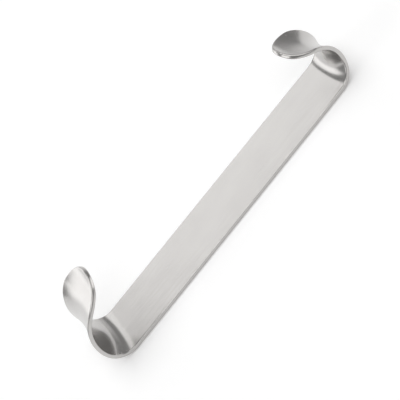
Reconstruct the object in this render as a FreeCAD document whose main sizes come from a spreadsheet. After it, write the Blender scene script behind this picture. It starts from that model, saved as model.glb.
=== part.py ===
import FreeCAD, Part
import math
import os
import Sketcher

V = FreeCAD.Vector
C = Sketcher.Constraint
doc = FreeCAD.newDocument("HandRetractor")

# Driving sizes in millimetres and degrees.  The handle lies along X and both
# ends of the strip curl up towards +Z.  The small hook is at +X, the large
# hook at -X.  Radii are to the middle of the strip.
sizes = [
    ("overall_length", 190.0),      # outside of one curl to outside of the other
    ("strip_thickness", 2.2),
    ("lead_in", 4.4),               # flat end of the strip that is swept with each hook
    ("trim_allowance", 2.0),        # extra strip that the rounded ends are cut from
    ("small_end_width", 33.8),      # handle width where the bend starts
    ("small_bend_radius", 12.8),    # lower bend
    ("small_bend_angle", 78.0),
    ("small_curl_radius", 15.3),    # upper curl, which brings the strip back
    ("small_curl_angle", 75.0),
    ("small_neck_width", 27.9),
    ("small_tongue_width", 30.2),
    ("small_tongue_run", 6.6),      # straight stretch before the lip
    ("small_lip_radius", 15.6),     # the lip turns the other way
    ("small_lip_angle", 24.0),
    ("small_saddle", 2.6),          # hollow across the back of the curl
    ("small_tip_saddle", 0.35),
    ("large_end_width", 35.6),
    ("large_bend_radius", 12.2),
    ("large_bend_angle", 84.5),
    ("large_curl_radius", 23.7),
    ("large_curl_angle", 74.5),
    ("large_neck_width", 37.9),
    ("large_tongue_width", 38.4),
    ("large_tongue_run", 6.1),
    ("large_lip_radius", 15.2),
    ("large_lip_angle", 26.0),
    ("large_saddle", 2.3),
    ("large_tip_saddle", 0.3),
]
sheet = doc.addObject("Spreadsheet::Sheet", "Sizes")
for row, (alias, value) in enumerate(sizes, start=1):
    sheet.set("A%d" % row, alias)
    sheet.set("B%d" % row, str(value))
    sheet.setAlias("B%d" % row, alias)
doc.recompute()


def value(expression):
    return float(sheet.evalExpression(expression))


class Hook:
    """Middle line of one hook: lower bend, curl, straight run and lip.  Every
    place and angle is kept as an expression of the sheet's sizes."""

    def __init__(self, name, side):
        self.name, self.side = name, side
        s = "Sizes.%s_" % name
        self.bend_r, self.bend_a = s + "bend_radius", s + "bend_angle"
        self.curl_r, self.curl_a = s + "curl_radius", s + "curl_angle"
        self.lip_r, self.lip_a = s + "lip_radius", s + "lip_angle"
        self.run, self.saddle, self.tip_saddle = s + "tongue_run", s + "saddle", s + "tip_saddle"
        self.end_w, self.neck_w, self.tongue_w = s + "end_width", s + "neck_width", s + "tongue_width"
        self.turn = "(%s + %s)" % (self.bend_a, self.curl_a)
        self.start_x = ("(Sizes.overall_length / 2 - Sizes.strip_thickness / 2 - %s * sin(%s) - %s * (1 - sin(%s)))"
                        % (self.bend_r, self.bend_a, self.curl_r, self.bend_a))
        self.level = "(Sizes.strip_thickness / 2)"
        self.lip_blank = "(%s + Sizes.trim_allowance / %s * 180 / pi)" % (self.lip_a, self.lip_r)

    def lead(self, share):
        return "(%s - Sizes.lead_in * %s)" % (self.start_x, share), self.level, "0"

    def bend(self, share):
        a = "(%s * %s)" % (self.bend_a, share)
        return ("(%s + %s * sin(%s))" % (self.start_x, self.bend_r, a),
                "(%s + %s * (1 - cos(%s)))" % (self.level, self.bend_r, a), a)

    def curl(self, share):
        x, z, _ = self.bend(1)
        a = "(%s + %s * %s)" % (self.bend_a, self.curl_a, share)
        return ("(%s + %s * (sin(%s) - sin(%s)))" % (x, self.curl_r, a, self.bend_a),
                "(%s + %s * (cos(%s) - cos(%s)))" % (z, self.curl_r, self.bend_a, a), a)

    def straight(self, share):
        x, z, _ = self.curl(1)
        return ("(%s + %s * %s * cos(%s))" % (x, self.run, share, self.turn),
                "(%s + %s * %s * sin(%s))" % (z, self.run, share, self.turn), self.turn)

    def lip(self, share):
        return self.lip_at("(%s * %s)" % (self.lip_a, share))

    def lip_at(self, turned):
        x, z, _ = self.straight(1)
        a = "(%s - %s)" % (self.turn, turned)
        return ("(%s + %s * (sin(%s) - sin(%s)))" % (x, self.lip_r, self.turn, a),
                "(%s + %s * (cos(%s) - cos(%s)))" % (z, self.lip_r, a, self.turn), a)


def drive(sketch, dimensions):
    """Dimensions of a sketch, each bound to its expression."""
    for name, kind, ids, amount in dimensions:
        start = value(amount) * (math.pi / 180 if kind == "Angle" else 1)
        number = sketch.addConstraint(Sketcher.Constraint(kind, *ids, start))
        sketch.renameConstraint(number, name)
        sketch.setExpression("Constraints." + name, amount)


def blend(first, last, share):
    """Smooth change from one size to another."""
    return "(%s + (%s - %s) * (1 - cos(180 * %s)) / 2)" % (first, last, first, share)


def section(hook, label, place, width, saddle="0"):
    """Cross-section of the strip at a place on the hook's middle line.  The
    saddle is the rise of its middle over its two edges."""
    x, z, angle = place
    sk = doc.addObject("Sketcher::SketchObject", "%s_%s" % (hook.name, label))
    # the section's own X runs along +Y, its own Y away from the strip's back
    sk.setExpression("Placement", "placement(vector(%d * %s; 0; %s); rotation(vector(0; 1; 0); %d * %s)"
                     " * rotation(vector(1; 1; 1); 120))" % (hook.side, x, z, -hook.side, angle))
    w, q, t = value(width) / 2, value(saddle), value("Sizes.strip_thickness") / 2
    # top and bottom run from +Y to -Y, the two sides close them
    for level in (t, -t):
        a, b = V(w, level, 0), V(-w, level, 0)
        if saddle == "0":
            sk.addGeometry(Part.LineSegment(a, b))
        else:
            sk.addGeometry(Part.Arc(a, V(0, q + level, 0), b))
    for sign in (1, -1):
        sk.addGeometry(Part.LineSegment(V(sign * w, t, 0), V(sign * w, -t, 0)))
    sk.addConstraint([
        C("Coincident", 2, 1, 0, 1), C("Coincident", 2, 2, 1, 1),
        C("Coincident", 3, 1, 0, 2), C("Coincident", 3, 2, 1, 2),
        C("Symmetric", 0, 1, 0, 2, -2), C("Symmetric", 1, 1, 1, 2, -2), C("Vertical", 2),
    ])
    drive(sk, [
        ("width", "DistanceX", (0, 2, 0, 1), width),
        ("thickness", "DistanceY", (2, 2, 2, 1), "Sizes.strip_thickness"),
        ("level", "DistanceY", (-1, 1, 0, 1), "Sizes.strip_thickness / 2"),
    ])
    if saddle != "0":
        drive(sk, [("saddle_radius", "Radius", (0,), "((%s / 2) ^ 2 + %s ^ 2) / (2 * %s)" % (width, saddle, saddle))])
        sk.addConstraint(C("Equal", 0, 1))
    return sk


def middle_line(hook):
    """Path of the strip's middle line: flat lead, bend, curl, straight run and
    lip, each tangent to the next."""
    sk = doc.addObject("Sketcher::SketchObject", hook.name + "_path")
    # the path's own X runs outwards along the handle, its own Y upwards
    turned = FreeCAD.Rotation(V(1, 0, 0), 90) if hook.side > 0 else FreeCAD.Rotation(V(0, 1, 1), 180)
    sk.Placement = FreeCAD.Placement(V(0, 0, 0), turned)
    places = [hook.lead(1), hook.lead(0), hook.bend(0.5), hook.bend(1), hook.curl(0.5), hook.curl(1),
              hook.straight(1), hook.lip(0.5), hook.lip_at(hook.lip_blank)]
    p = [V(value(x), value(z), 0) for x, z, _ in places]
    sk.addGeometry([Part.LineSegment(p[0], p[1]), Part.Arc(p[1], p[2], p[3]), Part.Arc(p[3], p[4], p[5]),
                    Part.LineSegment(p[5], p[6]), Part.Arc(p[6], p[7], p[8])])
    # the lip turns the other way, so its second end meets the straight run
    sk.addConstraint([C("Horizontal", 0), C("Tangent", 0, 2, 1, 1), C("Tangent", 1, 2, 2, 1),
                      C("Tangent", 2, 2, 3, 1), C("Tangent", 3, 2, 4, 2)])
    drive(sk, [
        ("lead_in", "DistanceX", (0, 1, 0, 2), "Sizes.lead_in"),
        ("bend_start", "DistanceX", (-1, 1, 0, 2), hook.start_x),
        ("level", "DistanceY", (-1, 1, 0, 2), hook.level),
        ("bend_radius", "Radius", (1,), hook.bend_r),
        ("bend_angle", "Angle", (1,), hook.bend_a),
        ("curl_radius", "Radius", (2,), hook.curl_r),
        ("curl_angle", "Angle", (2,), hook.curl_a),
        ("run", "Distance", (3,), hook.run),
        ("lip_radius", "Radius", (4,), hook.lip_r),
        ("lip_angle", "Angle", (4,), hook.lip_blank),
    ])
    return sk


def hook_sections(hook):
    """Sections along the middle line, from the flat lead to past the lip."""
    made = [section(hook, "lead", hook.lead(1), hook.end_w), section(hook, "bend_0", hook.bend(0), hook.end_w)]
    for i in (1, 2, 3, 4):
        share = i / 4
        made.append(section(hook, "bend_%d" % i, hook.bend(share), blend(hook.end_w, hook.neck_w, 0.8 * share),
                            blend("0", hook.saddle, share)))
    made.append(section(hook, "curl_1", hook.curl(0.25), hook.neck_w, hook.saddle))
    for i in (2, 3, 4):
        share = i / 4
        made.append(section(hook, "curl_%d" % i, hook.curl(share),
                            blend(hook.neck_w, hook.tongue_w, (share - 0.25) / 0.75),
                            blend(hook.saddle, hook.tip_saddle, 0.86 * (share - 0.5))))
    made.append(section(hook, "run", hook.straight(1), hook.tongue_w, blend(hook.saddle, hook.tip_saddle, 0.7)))
    made.append(section(hook, "lip", hook.lip_at(hook.lip_blank), hook.tongue_w, hook.tip_saddle))
    return made


small, large = Hook("small", 1), Hook("large", -1)

# Flat handle, a little wider towards the large hook
outline = doc.addObject("Sketcher::SketchObject", "HandleOutline")
small_x, large_x = small.lead(1)[0], large.lead(1)[0]
ends = [(-value(large_x), -value(large.end_w) / 2), (value(small_x), -value(small.end_w) / 2),
        (value(small_x), value(small.end_w) / 2), (-value(large_x), value(large.end_w) / 2)]
for i in range(4):
    outline.addGeometry(Part.LineSegment(V(*ends[i], 0), V(*ends[(i + 1) % 4], 0)))
outline.addConstraint([C("Coincident", i, 2, (i + 1) % 4, 1) for i in range(4)])
outline.addConstraint([C("Symmetric", 1, 1, 1, 2, -1), C("Symmetric", 3, 1, 3, 2, -1)])
drive(outline, [
    ("small_end", "DistanceX", (-1, 1, 1, 1), small_x),
    ("large_end", "DistanceX", (3, 1, -1, 1), large_x),
    ("small_width", "DistanceY", (1, 1, 1, 2), small.end_w),
    ("large_width", "DistanceY", (3, 2, 3, 1), large.end_w),
])
handle = doc.addObject("Part::Extrusion", "Handle")
handle.Base = outline
handle.DirMode = "Normal"
handle.Solid = True
handle.setExpression("LengthFwd", "Sizes.strip_thickness")

hooks = []
for hook in (small, large):
    path = middle_line(hook)
    sweep = doc.addObject("Part::Sweep", hook.name + "_hook")
    sweep.Sections = hook_sections(hook)
    sweep.Spine = (path, ["Edge%d" % (i + 1) for i in range(path.GeometryCount)])
    sweep.Solid = True
    sweep.Frenet = True
    hooks.append(sweep)
blank = doc.addObject("Part::MultiFuse", "Blank")
blank.Shapes = [handle] + hooks
doc.recompute()

body = doc.addObject("PartDesign::Body", "Retractor")
body.Label = "retractor"
body.BaseFeature = blank
doc.recompute()
across = [(f, "") for f in body.Origin.OriginFeatures if f.Role == "YZ_Plane"]


for hook in (small, large):
    # the tongue's end is rounded by a cut square to the middle of the lip
    x, z, _ = hook.lip(1)
    angle = hook.lip(0.5)[2]
    cut = body.newObject("Sketcher::SketchObject", hook.name + "_end_round")
    cut.AttachmentSupport = across
    cut.MapMode = "FlatFace"
    cut.AttachmentOffset = FreeCAD.Placement(V(0, 0, 0), FreeCAD.Rotation(V(1, 0, 0), 1.0))
    cut.setExpression("AttachmentOffset.Base.z", "%d * %s" % (hook.side, x))
    cut.setExpression("AttachmentOffset.Base.y", z)
    cut.setExpression("AttachmentOffset.Rotation.Angle", "%d * (90 - %s)" % (hook.side, angle))
    radius = "%s / 2 * 1.004" % hook.tongue_w
    r, m = value(radius), value("Sizes.trim_allowance + 2")
    cut.addGeometry(Part.Arc(V(r, -r, 0), V(0, 0, 0), V(-r, -r, 0)))
    loop = [V(-r, -r, 0), V(-r - m, -r, 0), V(-r - m, m, 0), V(r + m, m, 0), V(r + m, -r, 0), V(r, -r, 0)]
    for i in range(5):
        cut.addGeometry(Part.LineSegment(loop[i], loop[i + 1]))
    cut.addConstraint([C("Coincident", 0, 2, 1, 1), C("Coincident", 1, 2, 2, 1), C("Coincident", 2, 2, 3, 1),
                       C("Coincident", 3, 2, 4, 1), C("Coincident", 4, 2, 5, 1), C("Coincident", 5, 2, 0, 1),
                       C("Horizontal", 1), C("Vertical", 2), C("Vertical", 4), C("Horizontal", 5),
                       C("Symmetric", 0, 1, 0, 2, -2), C("Symmetric", 3, 1, 3, 2, -2), C("Horizontal", 0, 3, 0, 1)])
    drive(cut, [
        ("radius", "Radius", (0,), radius),
        ("centre", "DistanceY", (0, 3, -1, 1), radius),
        ("past_tip", "DistanceY", (-1, 1, 3, 1), "Sizes.trim_allowance + 2"),
        ("past_side", "DistanceX", (5, 2, 4, 2), "Sizes.trim_allowance + 2"),
    ])
    doc.recompute()
    pocket = body.newObject("PartDesign::Pocket", hook.name + "_tongue")
    pocket.Profile = cut
    pocket.Type = "Length"
    pocket.SideType = "Symmetric"
    pocket.setExpression("Length", "%s / 2" % hook.tongue_w)
    doc.recompute()

for part in doc.Objects:
    if "Invalid" in part.State or "Error" in part.State:
        raise RuntimeError("%s did not build" % part.Label)
shape = body.Shape
if shape.isNull() or not shape.isValid() or len(shape.Solids) != 1:
    raise RuntimeError("the retractor is not one valid solid")
print("retractor", [round(v, 2) for v in (shape.BoundBox.XLength, shape.BoundBox.YLength, shape.BoundBox.ZLength)],
      "volume", round(shape.Volume, 1), "faces", len(shape.Faces))
os.makedirs("parts", exist_ok=True)
shape.exportStep("parts/retractor.step")
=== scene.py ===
import math

import bpy
from mathutils import Matrix, Vector


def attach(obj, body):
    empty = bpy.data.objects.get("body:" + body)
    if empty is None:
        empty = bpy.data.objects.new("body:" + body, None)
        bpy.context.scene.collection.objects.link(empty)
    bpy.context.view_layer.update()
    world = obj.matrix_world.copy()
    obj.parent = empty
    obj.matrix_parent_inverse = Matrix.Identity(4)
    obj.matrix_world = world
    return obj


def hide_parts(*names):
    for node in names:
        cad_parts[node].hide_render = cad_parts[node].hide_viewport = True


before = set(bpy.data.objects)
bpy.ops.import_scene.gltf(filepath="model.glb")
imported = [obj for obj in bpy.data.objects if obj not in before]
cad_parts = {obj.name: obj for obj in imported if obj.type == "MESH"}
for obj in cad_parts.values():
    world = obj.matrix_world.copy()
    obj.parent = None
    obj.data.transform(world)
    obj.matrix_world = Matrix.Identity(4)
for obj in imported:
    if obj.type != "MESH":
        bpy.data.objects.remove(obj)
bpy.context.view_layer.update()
print("CAD nodes loaded:", sorted(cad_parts))

mm = 0.001
tiny = 0.001                  # mm; points closer than this are at one place


def deselectAll():
    if bpy.context.mode != "OBJECT":
        bpy.ops.object.mode_set(mode="OBJECT")
    bpy.ops.object.select_all(action="DESELECT")


def makeActive(obj):
    deselectAll()
    obj.select_set(True)
    bpy.context.view_layer.objects.active = obj


def applyAll(obj):
    makeActive(obj)
    for name in [m.name for m in obj.modifiers]:
        bpy.ops.object.modifier_apply(modifier=name)


def addNode(tree, kind, place, **values):
    node = tree.nodes.new(kind)
    node.location = place
    for key, value in values.items():
        if key in node.inputs.keys():
            node.inputs[key].default_value = value
        else:
            setattr(node, key, value)
    return node


# brushed and polished steel: fine lines along the strip over a soft unevenness
polishValues = {
    "lineDetail": 3.0,
    "lineRough": 0.6,
    "lineShare": 0.55,
    "cloudDetail": 2.0,
    "cloudRough": 0.5,
    "cloudShare": 0.45,
    "spreadLow": 0.35,
    "spreadHigh": 0.75,
}
steelValues = {
    "color": (0.53, 0.517, 0.505, 1.0),
    "lineScale": 1100.0,
    "lineStretch": 0.03,
    "cloudScale": 55.0,
    "roughLow": 0.2,
    "roughHigh": 0.29,
    "bumpStrength": 0.05,
    "bumpDistance": 0.00002,
}
polishSockets = {
    "Line Scale": "lineScale",
    "Line Stretch": "lineStretch",
    "Cloud Scale": "cloudScale",
    "Rough Low": "roughLow",
    "Rough High": "roughHigh",
}


def buildPolish(values):
    group = bpy.data.node_groups.new("polishedLines", "ShaderNodeTree")
    face = group.interface
    face.new_socket("Vector", in_out="INPUT", socket_type="NodeSocketVector")
    for name in polishSockets:
        face.new_socket(name, in_out="INPUT", socket_type="NodeSocketFloat")
    for name in ("Roughness", "Height"):
        face.new_socket(name, in_out="OUTPUT", socket_type="NodeSocketFloat")
    ins = addNode(group, "NodeGroupInput", (-900, 0))
    outs = addNode(group, "NodeGroupOutput", (700, 0))
    stretch = addNode(group, "ShaderNodeCombineXYZ", (-700, -150), Y=1.0, Z=1.0)
    scaled = addNode(group, "ShaderNodeVectorMath", (-500, 0), operation="MULTIPLY")
    lines = addNode(group, "ShaderNodeTexNoise", (-300, 150),
                    Detail=values["lineDetail"], Roughness=values["lineRough"])
    cloud = addNode(group, "ShaderNodeTexNoise", (-300, -150),
                    Detail=values["cloudDetail"], Roughness=values["cloudRough"])
    soft = addNode(group, "ShaderNodeMath", (-200, -350), operation="MULTIPLY")
    soft.inputs[1].default_value = values["cloudShare"]
    both = addNode(group, "ShaderNodeMath", (-50, 0), operation="MULTIPLY_ADD")
    both.inputs[1].default_value = values["lineShare"]
    spread = addNode(group, "ShaderNodeMapRange", (250, 100), **{
        "From Min": values["spreadLow"], "From Max": values["spreadHigh"]})
    link = group.links.new
    link(ins.outputs["Line Stretch"], stretch.inputs["X"])
    link(ins.outputs["Vector"], scaled.inputs[0])
    link(stretch.outputs["Vector"], scaled.inputs[1])
    link(scaled.outputs["Vector"], lines.inputs["Vector"])
    link(ins.outputs["Line Scale"], lines.inputs["Scale"])
    link(ins.outputs["Vector"], cloud.inputs["Vector"])
    link(ins.outputs["Cloud Scale"], cloud.inputs["Scale"])
    link(cloud.outputs["Fac"], soft.inputs[0])
    link(lines.outputs["Fac"], both.inputs[0])
    link(soft.outputs["Value"], both.inputs[2])
    link(both.outputs["Value"], spread.inputs["Value"])
    link(ins.outputs["Rough Low"], spread.inputs["To Min"])
    link(ins.outputs["Rough High"], spread.inputs["To Max"])
    link(spread.outputs["Result"], outs.inputs["Roughness"])
    link(both.outputs["Value"], outs.inputs["Height"])
    return group


def buildSteel(polish, values):
    material = bpy.data.materials.new("polishedSteel")
    material.use_nodes = True
    tree = material.node_tree
    shader = tree.nodes["Principled BSDF"]
    shader.inputs["Base Color"].default_value = values["color"]
    shader.inputs["Metallic"].default_value = 1.0
    where = addNode(tree, "ShaderNodeTexCoord", (-900, 0))
    group = addNode(tree, "ShaderNodeGroup", (-650, 0), node_tree=polish)
    for socket, key in polishSockets.items():
        group.inputs[socket].default_value = values[key]
    bump = addNode(tree, "ShaderNodeBump", (-350, -200),
                   Strength=values["bumpStrength"], Distance=values["bumpDistance"])
    link = tree.links.new
    link(where.outputs["Object"], group.inputs["Vector"])
    link(group.outputs["Roughness"], shader.inputs["Roughness"])
    link(group.outputs["Height"], bump.inputs["Height"])
    link(bump.outputs["Normal"], shader.inputs["Normal"])
    return material


steel = buildSteel(buildPolish(polishValues), steelValues)
print("steel ready")


# The strip is bent from a flat blank, as the real one is.  Lengths in mm,
# angles in degrees, radii to the middle of the strip; side +1 is the small hook.
strip = {
    "length": 190.0,
    "thickness": 2.19,
    "middle": 1.1,            # height of the handle's middle surface
    "fit": 0.04,              # how much narrower it stays than the solid
    "neckAt": 0.25,           # share of the curl at which a hook is at its neck
    "neckByBend": 0.8,        # share of the way to the neck's width done in the bend
    "border": 1.0,            # width of the even border inside the rim
    "firstRing": 0.2,         # least distance from a tongue's centre to its first ring
    "rimRound": 0.5,
    "rimSteps": 3,
    "rimAngle": 50.0,         # edges sharper than this are rounded
    "smoothAngle": 40.0,
    "acrossSteps": 36,
    "handleSteps": 24,
    "blankWidth": 2000.0,     # the sheet stays this wide until shapeSheet
}
hooks = {
    1: {"endWidth": 33.8, "bendRadius": 12.8, "bendAngle": 78.0, "curlRadius": 15.3, "curlAngle": 75.0,
        "neckWidth": 27.9, "tongueWidth": 30.2, "run": 6.6, "lipRadius": 15.6, "lipAngle": 24.0,
        "saddle": 2.6, "tipSaddle": 0.35, "bendSteps": 26, "curlSteps": 28, "runSteps": 6, "lipSteps": 12},
    -1: {"endWidth": 35.6, "bendRadius": 12.2, "bendAngle": 84.5, "curlRadius": 23.7, "curlAngle": 74.5,
         "neckWidth": 37.9, "tongueWidth": 38.4, "run": 6.1, "lipRadius": 15.2, "lipAngle": 26.0,
         "saddle": 2.3, "tipSaddle": 0.3, "bendSteps": 26, "curlSteps": 36, "runSteps": 6, "lipSteps": 12},
}


# how far from the middle of the part a hook's bend starts
def startOf(hook):
    lean = math.sin(math.radians(hook["bendAngle"]))
    return strip["length"] / 2 - strip["middle"] - hook["bendRadius"] * lean - hook["curlRadius"] * (1 - lean)


# lengths of a hook's bend, curl, straight run and lip along the strip
def arcLengths(hook):
    return [hook["bendRadius"] * math.radians(hook["bendAngle"]),
            hook["curlRadius"] * math.radians(hook["curlAngle"]),
            hook["run"],
            hook["lipRadius"] * math.radians(hook["lipAngle"])]


# place and angle of the strip's middle, s mm past the start of the bend
def middleAt(hook, s):
    bendLong, curlLong, runLong = arcLengths(hook)[:3]
    x, z, a = startOf(hook), strip["middle"], 0.0
    if s <= 0:
        return x + s, z, a
    r = hook["bendRadius"]
    t = min(s, bendLong) / r
    x, z, a = x + r * math.sin(t), z + r * (1 - math.cos(t)), t
    if s <= bendLong:
        return x, z, a
    s -= bendLong
    r, a0 = hook["curlRadius"], a
    a = a0 + min(s, curlLong) / r
    x, z = x + r * (math.sin(a) - math.sin(a0)), z + r * (math.cos(a0) - math.cos(a))
    if s <= curlLong:
        return x, z, a
    s -= curlLong
    t = min(s, runLong)
    x, z = x + t * math.cos(a), z + t * math.sin(a)
    if s <= runLong:
        return x, z, a
    s -= runLong
    r, a0 = hook["lipRadius"], a
    a = a0 - s / r
    return x + r * (math.sin(a0) - math.sin(a)), z + r * (math.cos(a) - math.cos(a0)), a


def mix(a, b, t):
    return a + (b - a) * t


def smooth(t):
    t = min(1.0, max(0.0, t))
    return (1 - math.cos(math.pi * t)) / 2


# from the handle's width to the neck's, which lies in the curl, to the tongue's
def widthAt(hook, s):
    bendLong, curlLong = arcLengths(hook)[:2]
    end, neck, tongue = hook["endWidth"], hook["neckWidth"], hook["tongueWidth"]
    neckAt, byBend = strip["neckAt"], strip["neckByBend"]
    if s <= bendLong:
        return mix(end, neck, smooth(byBend * max(0, s) / bendLong))
    share = (s - bendLong) / curlLong
    if share <= neckAt:
        return mix(end, neck, smooth(mix(byBend, 1.0, share / neckAt)))
    return mix(neck, tongue, smooth((share - neckAt) / (1 - neckAt)))


# depth of the hollow: it grows along the bend and fades from the middle of the curl
def saddleAt(hook, s):
    bendLong, curlLong, runLong, lipLong = arcLengths(hook)
    if s <= bendLong:
        return hook["saddle"] * smooth(s / bendLong)
    fade = (s - bendLong - curlLong / 2) / (curlLong / 2 + runLong + lipLong)
    return mix(hook["saddle"], hook["tipSaddle"], smooth(fade))


# the tongue's end is a half circle seen square to the middle of the lip: how far
# along the strip a point lies that is seen reach mm beyond the circle's centre
def alongAt(hook, reach):
    lengths = arcLengths(hook)
    whole = sum(lengths)
    tipX, tipZ = middleAt(hook, whole)[:2]
    look = middleAt(hook, whole - lengths[3] / 2)[2]
    wanted = reach - hook["tongueWidth"] / 2
    low, high, halvings = lengths[0], whole, 40
    for _ in range(halvings):
        half = (low + high) / 2
        x, z = middleAt(hook, half)[:2]
        if (x - tipX) * math.cos(look) + (z - tipZ) * math.sin(look) < wanted:
            low = half
        else:
            high = half
    return (low + high) / 2


# the sheet's square end laid out in rings round the circle's centre: u across
# from -1 to 1 and v along from 0 to 1, both in half widths
def ringPlace(u, v, squeeze, overEnd):
    if overEnd or v > abs(u):
        a = math.pi / 4 * u / v * squeeze
        return v * math.sin(a), v * math.cos(a)
    if u == 0:
        return 0.0, 0.0
    a = math.pi / 4 * v / abs(u) * squeeze
    return u * math.cos(a), abs(u) * math.sin(a)


# rows of the sheet as it comes out of the spins, in mm past the bend's start
def rowsOf(hook):
    counts = [hook[key] for key in ("bendSteps", "curlSteps", "runSteps", "lipSteps")]
    rows, done = [0.0], 0.0
    for reach, steps in zip(arcLengths(hook), counts):
        rows += [done + reach * (i + 1) / steps for i in range(steps)]
        done += reach
    return rows


# a flat sheet as long as the handle, with a hook spun out of each end
def bendSheet():
    right, left = startOf(hooks[1]), startOf(hooks[-1])
    blank = strip["blankWidth"] * mm
    deselectAll()
    bpy.ops.mesh.primitive_grid_add(
        x_subdivisions=strip["handleSteps"], y_subdivisions=strip["acrossSteps"], size=blank,
        location=((right - left) / 2 * mm, 0, strip["middle"] * mm))
    obj = bpy.context.object
    obj.name = "retractorStrip"
    bpy.ops.transform.resize(value=((right + left) * mm / blank, 1.0, 1.0))
    bpy.ops.object.transform_apply(location=True, rotation=False, scale=True)
    bpy.ops.object.mode_set(mode="EDIT")
    bpy.ops.mesh.select_mode(type="EDGE")
    for side, hook in hooks.items():
        bpy.ops.mesh.select_all(action="DESELECT")
        bpy.ops.object.mode_set(mode="OBJECT")
        reach = (right if side > 0 else left) * mm
        for edge in obj.data.edges:
            edge.select = all(abs(obj.data.vertices[i].co.x * side - reach) < tiny * mm for i in edge.vertices)
        bpy.ops.object.mode_set(mode="EDIT")
        lengths = arcLengths(hook)
        for radius, angle, turns, count, done in (
                (hook["bendRadius"], hook["bendAngle"], 1, hook["bendSteps"], 0.0),
                (hook["curlRadius"], hook["curlAngle"], 1, hook["curlSteps"], lengths[0]),
                (0, 0, 0, hook["runSteps"], lengths[0] + lengths[1]),
                (hook["lipRadius"], hook["lipAngle"], -1, hook["lipSteps"], sum(lengths[:3]))):
            x, z, a = middleAt(hook, done)
            if turns:
                centre = Vector(((x - turns * radius * math.sin(a)) * side * mm, 0,
                                 (z + turns * radius * math.cos(a)) * mm))
                bpy.ops.mesh.spin(steps=count, angle=turns * side * math.radians(angle), center=centre, axis=(0, 1, 0))
            else:
                step = hook["run"] / count * mm
                for _ in range(count):
                    bpy.ops.mesh.extrude_region_move(TRANSFORM_OT_translate={
                        "value": (step * math.cos(a) * side, 0, step * math.sin(a))})
    bpy.ops.mesh.select_all(action="SELECT")
    bpy.ops.mesh.remove_doubles(threshold=tiny * mm)
    bpy.ops.mesh.normals_make_consistent(inside=False)
    bpy.ops.object.mode_set(mode="OBJECT")
    return obj


# the bent sheet gets its widths, the hollow across each hook's back and the
# rounded ends; its outermost column and row are a narrow border of even width
def shapeSheet(obj):
    right, left = startOf(hooks[1]), startOf(hooks[-1])
    border, last = strip["border"], strip["acrossSteps"]
    tables = {}
    for side, hook in hooks.items():
        rows = rowsOf(hook)
        centre = alongAt(hook, 0)
        firstRow = next(i for i, s in enumerate(rows) if s > centre + strip["firstRing"])
        tables[side] = (rows, [middleAt(hook, s) for s in rows], firstRow)
    for vertex in obj.data.vertices:
        x, y, z = vertex.co / mm
        column = round((y / strip["blankWidth"] + 0.5) * last)
        onBorder = column in (0, last)
        u = max(-1.0, min(1.0, 2 * (column - 1) / (last - 2) - 1))
        side = 1 if x > 0 else -1
        hook = hooks[side]
        if abs(x) < (right if side > 0 else left) - tiny and z < strip["middle"] + tiny:
            width = mix(hooks[-1]["endWidth"], hooks[1]["endWidth"], (x + left) / (right + left))
            half = (width - strip["fit"]) / 2
            vertex.co = Vector((x, u * (half if onBorder else half - border), z)) * mm
            continue
        rows, places, firstRow = tables[side]
        row = min(range(len(rows)), key=lambda i: (places[i][0] - abs(x)) ** 2 + (places[i][1] - z) ** 2)
        s = rows[row]
        tipRow = row == len(rows) - 1
        inset = 0.0 if onBorder or tipRow else border
        if row >= firstRow:
            radius = hook["tongueWidth"] / 2
            v = min(1.0, (row - firstRow + 1) / (len(rows) - 1 - firstRow))
            # beside a corner the rim's points keep clear of each other
            squeeze = 1 - 2 * border / (math.pi * radius) if onBorder != tipRow else 1.0
            u, v = ringPlace(u, v, squeeze, tipRow)
            s = alongAt(hook, v * (radius - inset))
        half = (widthAt(hook, s) - strip["fit"]) / 2
        # the wall's rim stands square to the hollow back and leans outwards
        half -= strip["thickness"] * saddleAt(hook, s) / half
        y = u * (half - inset)
        px, pz, a = middleAt(hook, s)
        # the middle lies further inwards than the two edges
        rise = saddleAt(hook, s) * (1 - (y / half) ** 2)
        vertex.co = Vector(((px - rise * math.sin(a)) * side, y, pz + rise * math.cos(a))) * mm


# the sheet's four corners lie on a smooth rim, so the corner points come out
# and leave the rounding an even line to follow
def openCorners(obj):
    uses = {}
    for face in obj.data.polygons:
        for i in face.vertices:
            uses[i] = uses.get(i, 0) + 1
    makeActive(obj)
    bpy.ops.object.mode_set(mode="EDIT")
    bpy.ops.mesh.select_mode(type="VERT")
    bpy.ops.mesh.select_all(action="DESELECT")
    bpy.ops.object.mode_set(mode="OBJECT")
    for i, count in uses.items():
        obj.data.vertices[i].select = count == 1
    bpy.ops.object.mode_set(mode="EDIT")
    bpy.ops.mesh.dissolve_verts()
    bpy.ops.object.mode_set(mode="OBJECT")


def buildStrip():
    obj = bendSheet()
    print("sheet bent:", len(obj.data.vertices), "points")
    shapeSheet(obj)
    openCorners(obj)
    print("sheet shaped")
    wall = obj.modifiers.new("wall", "SOLIDIFY")
    wall.thickness = strip["thickness"] * mm
    wall.offset = 0.0
    rim = obj.modifiers.new("rim", "BEVEL")
    rim.width = strip["rimRound"] * mm
    rim.segments = strip["rimSteps"]
    rim.limit_method = "ANGLE"
    rim.angle_limit = math.radians(strip["rimAngle"])
    rim.use_clamp_overlap = False
    applyAll(obj)
    bpy.ops.object.shade_smooth_by_angle(angle=math.radians(strip["smoothAngle"]))
    obj.data.materials.append(steel)
    return obj


retractor = buildStrip()
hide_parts("retractor")
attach(retractor, "root")
print("strip built:", len(retractor.data.polygons), "faces")


# Plain white floor, in metres.  What the camera and the steel see of it glows a
# little, so that it is white and still takes the shadow.  From near to far out,
# what the camera sees of it fades to the backdrop's white, so its edge is hidden.
floorValues = {
    "size": 4.0,
    "drop": 0.00005,
    "color": (0.9, 0.9, 0.9, 1.0),
    "glow": 0.17,
    "near": 0.6,
    "far": 1.5,
}


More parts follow.
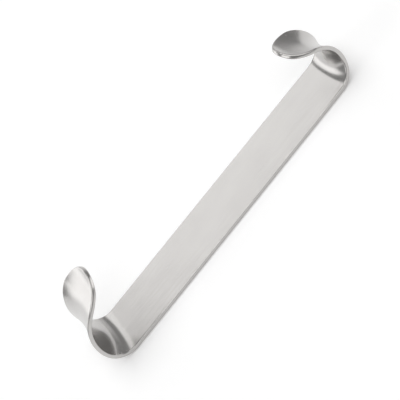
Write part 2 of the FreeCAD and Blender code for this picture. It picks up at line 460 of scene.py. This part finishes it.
def buildFloor(values):
    deselectAll()
    bpy.ops.mesh.primitive_plane_add(size=values["size"], location=(0, 0, -values["drop"]))
    floor = bpy.context.object
    floor.name = "floor"
    material = bpy.data.materials.new("floorWhite")
    material.use_nodes = True
    tree = material.node_tree
    shader = tree.nodes["Principled BSDF"]
    shader.inputs["Base Color"].default_value = values["color"]
    shader.inputs["Roughness"].default_value = 1.0
    shader.inputs["Emission Color"].default_value = (1, 1, 1, 1)
    path = addNode(tree, "ShaderNodeLightPath", (-800, -200))
    where = addNode(tree, "ShaderNodeTexCoord", (-1000, -500))
    away = addNode(tree, "ShaderNodeVectorMath", (-800, -500), operation="LENGTH")
    white = addNode(tree, "ShaderNodeMapRange", (-600, -500), **{
        "From Min": values["near"], "From Max": values["far"], "To Min": values["glow"], "To Max": 1.0})
    seen = addNode(tree, "ShaderNodeMath", (-400, -400), operation="MULTIPLY")
    glow = addNode(tree, "ShaderNodeMath", (-200, -200), operation="MULTIPLY_ADD")
    glow.inputs[1].default_value = values["glow"]
    link = tree.links.new
    link(where.outputs["Object"], away.inputs[0])
    link(away.outputs["Value"], white.inputs["Value"])
    link(path.outputs["Is Camera Ray"], seen.inputs[0])
    link(white.outputs["Result"], seen.inputs[1])
    link(path.outputs["Is Glossy Ray"], glow.inputs[0])
    link(seen.outputs["Value"], glow.inputs[2])
    link(glow.outputs["Value"], shader.inputs["Emission Strength"])
    floor.data.materials.append(material)


buildFloor(floorValues)

# Plain studio in a dim room, with a white backdrop for the camera only.  Each
# soft box is a panel that faces the part: bearing from +Y towards +X and height
# in degrees, width and depth as shares of its distance, and how bright it looks,
# where 1 is white.
studio = {
    "room": 0.28,
    "distance": 2.5,
    "panels": {
        "top": {"bearing": 0, "height": 78, "size": (1.1, 1.0), "bright": 1.5},
        "back": {"bearing": 0, "height": 30, "size": (0.5, 0.5), "bright": 1.12},
        "left": {"bearing": -84, "height": 25, "size": (0.6, 0.46), "bright": 1.5},
        "leftLow": {"bearing": -32, "height": 10, "size": (0.46, 0.4), "bright": 1.45},
        "right": {"bearing": 85, "height": 14, "size": (0.6, 0.5), "bright": 1.45},
        "rightLow": {"bearing": 25, "height": 8, "size": (0.4, 0.3), "bright": 0.5},
        "front": {"bearing": 175, "height": 44, "size": (1.0, 0.7), "bright": 1.2},
    },
}


def buildStudio(values):
    world = bpy.data.worlds.new("studio")
    bpy.context.scene.world = world
    world.use_nodes = True
    tree = world.node_tree
    back = tree.nodes["Background"]
    back.inputs["Color"].default_value = (1, 1, 1, 1)
    path = addNode(tree, "ShaderNodeLightPath", (-600, 0))
    seen = addNode(tree, "ShaderNodeMapRange", (-300, 0), **{"To Min": values["room"]})
    tree.links.new(path.outputs["Is Camera Ray"], seen.inputs["Value"])
    tree.links.new(seen.outputs["Result"], back.inputs["Strength"])
    for name, panel in values["panels"].items():
        bearing, height = math.radians(panel["bearing"]), math.radians(panel["height"])
        flat = math.cos(height)
        toward = Vector((math.sin(bearing) * flat, math.cos(bearing) * flat, math.sin(height)))
        deselectAll()
        bpy.ops.object.light_add(type="AREA", location=toward * values["distance"])
        lamp = bpy.context.object
        lamp.name = name
        lamp.data.shape = "RECTANGLE"
        wide, deep = (share * values["distance"] for share in panel["size"])
        lamp.data.size, lamp.data.size_y = wide, deep
        lamp.data.energy = panel["bright"] * math.pi * wide * deep
        lamp.rotation_euler = toward.to_track_quat("Z", "Y").to_euler()


buildStudio(studio)

# metres and degrees; the lens and the sensor in mm
camera = {
    "azimuth": 4.18,
    "elevation": 36.0,
    "roll": 53.68,
    "distance": 0.5759,
    "target": (-0.00697, 0.01883, 0.0011),
    "clipStart": 0.01,
    "lens": 98.83,
    "sensor": 36.0,
}


def buildCamera(values):
    az, el, roll = (math.radians(values[key]) for key in ("azimuth", "elevation", "roll"))
    back = Vector((math.sin(az) * math.cos(el), -math.cos(az) * math.cos(el), math.sin(el)))
    right = Vector((math.cos(az), math.sin(az), 0))
    up = back.cross(right)
    xAxis = math.cos(roll) * right - math.sin(roll) * up
    yAxis = math.sin(roll) * right + math.cos(roll) * up
    data = bpy.data.cameras.new("photoView")
    obj = bpy.data.objects.new("photoView", data)
    bpy.context.scene.collection.objects.link(obj)
    place = Vector(values["target"]) + values["distance"] * back
    turned = Matrix((xAxis, yAxis, back)).transposed().to_4x4()
    obj.matrix_world = Matrix.Translation(place) @ turned
    data.lens = values["lens"]
    data.sensor_width = values["sensor"]
    data.clip_start = values["clipStart"]
    bpy.context.scene.camera = obj


buildCamera(camera)
bpy.context.scene.view_settings.view_transform = "Standard"
print("stage, light and camera ready")

bpy.context.view_layer.update()
